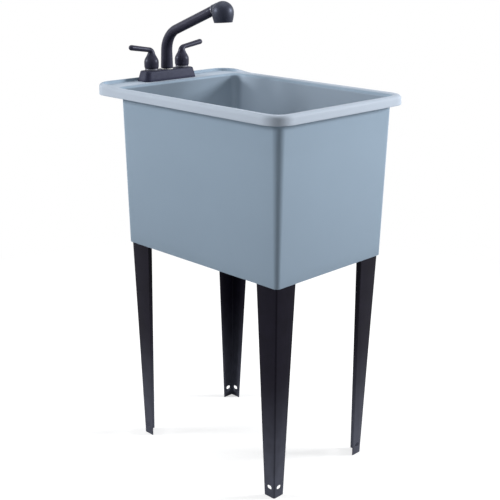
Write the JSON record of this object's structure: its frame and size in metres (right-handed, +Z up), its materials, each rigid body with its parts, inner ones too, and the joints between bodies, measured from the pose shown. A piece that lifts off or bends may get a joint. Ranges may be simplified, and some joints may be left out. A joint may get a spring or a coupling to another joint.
{
  "type": "utility laundry sink",
  "caption": "Floor-standing moulded laundry tub on tapered angle legs, with a faucet deck, lever valves, a swivel spout with a pull-out spray head and a lift-out drain basket.",
  "frame": {"origin": "floor level, under the centre of the rim", "axes": "+Z up; the user stands at -Y and the faucet deck is at +Y; +X is the user's right"},
  "size_m": [0.451, 0.622, 1.126],
  "materials": {
    "tub": "satin moulded, pale blue-grey",
    "leg": "semi-gloss black enamel",
    "faucet": "satin charcoal",
    "ring": "satin grey",
    "head": "satin metallic charcoal",
    "plastic": "black moulded",
    "rubber": "black rubber",
    "fibre": "fibre board",
    "steel": "polished stainless",
    "hose": "braid over rubber",
    "brass": "machined",
    "white": "white moulded"
  },
  "bodies": {
    "sink": {"tub": "tub", "leg_front_left": "leg", "leg_front_right": "leg", "leg_back_left": "leg", "leg_back_right": "leg", "faucet_base": "faucet", "hot_collar": "ring", "cold_collar": "ring", "drain_locknut": "plastic", "tailpiece": "plastic", "slip_nut": "plastic", "hot_mounting_nut": "plastic", "cold_mounting_nut": "plastic", "drain_gasket": "rubber", "deck_gasket": "rubber", "lower_o_ring": "rubber", "upper_o_ring": "rubber", "drain_friction_washer": "fibre", "drain_body": "steel", "waterway": "brass", "hot_valve_cartridge": "brass", "cold_valve_cartridge": "brass", "hot_bonnet_nut": "brass", "cold_bonnet_nut": "brass", "hot_shank": "brass", "cold_shank": "brass", "tailpiece_washer": "white", "spout_washer": "white", "hot_mounting_washer": "white", "cold_mounting_washer": "white"},
    "hot_lever": {"hot_handle": "faucet", "hot_valve_stem": "brass", "hot_set_screw": "steel"},
    "cold_lever": {"cold_handle": "faucet", "cold_valve_stem": "brass", "cold_set_screw": "steel"},
    "swivel_spout": {"spout": "faucet", "dock_ring": "ring", "lower_hose": "hose"},
    "pull_out_head": {"spray_head": "head", "spray_neck": "plastic", "spray_face": "plastic", "riding_hose": "hose"},
    "lift_out_basket": {"basket": "steel", "basket_seal": "rubber", "basket_post": "steel"}
  },
  "joints": [
    {"name": "hot_handle_turn", "type": "hinge", "parent": "sink", "child": "hot_lever", "pos_m": [-0.0628, 0.2745, 0.96], "axis": [0, 0, 1], "range_deg": [0, 90]},
    {"name": "cold_handle_turn", "type": "hinge", "parent": "sink", "child": "cold_lever", "pos_m": [0.0388, 0.2745, 0.96], "axis": [0, 0, 1], "range_deg": [-90, 0]},
    {"name": "spout_swivel", "type": "hinge", "parent": "sink", "child": "swivel_spout", "pos_m": [-0.012, 0.2745, 0.96], "axis": [0, 0, 1], "range_deg": [-110, 110]},
    {"name": "spray_head_pull", "type": "slide", "parent": "swivel_spout", "child": "pull_out_head", "axis": [0, -0.9291, 0.3697], "range_m": [0, 0.1]},
    {"name": "basket_lift", "type": "slide", "parent": "sink", "child": "lift_out_basket", "axis": [0, 0, 1], "range_m": [0, 0.08]}
  ]
}
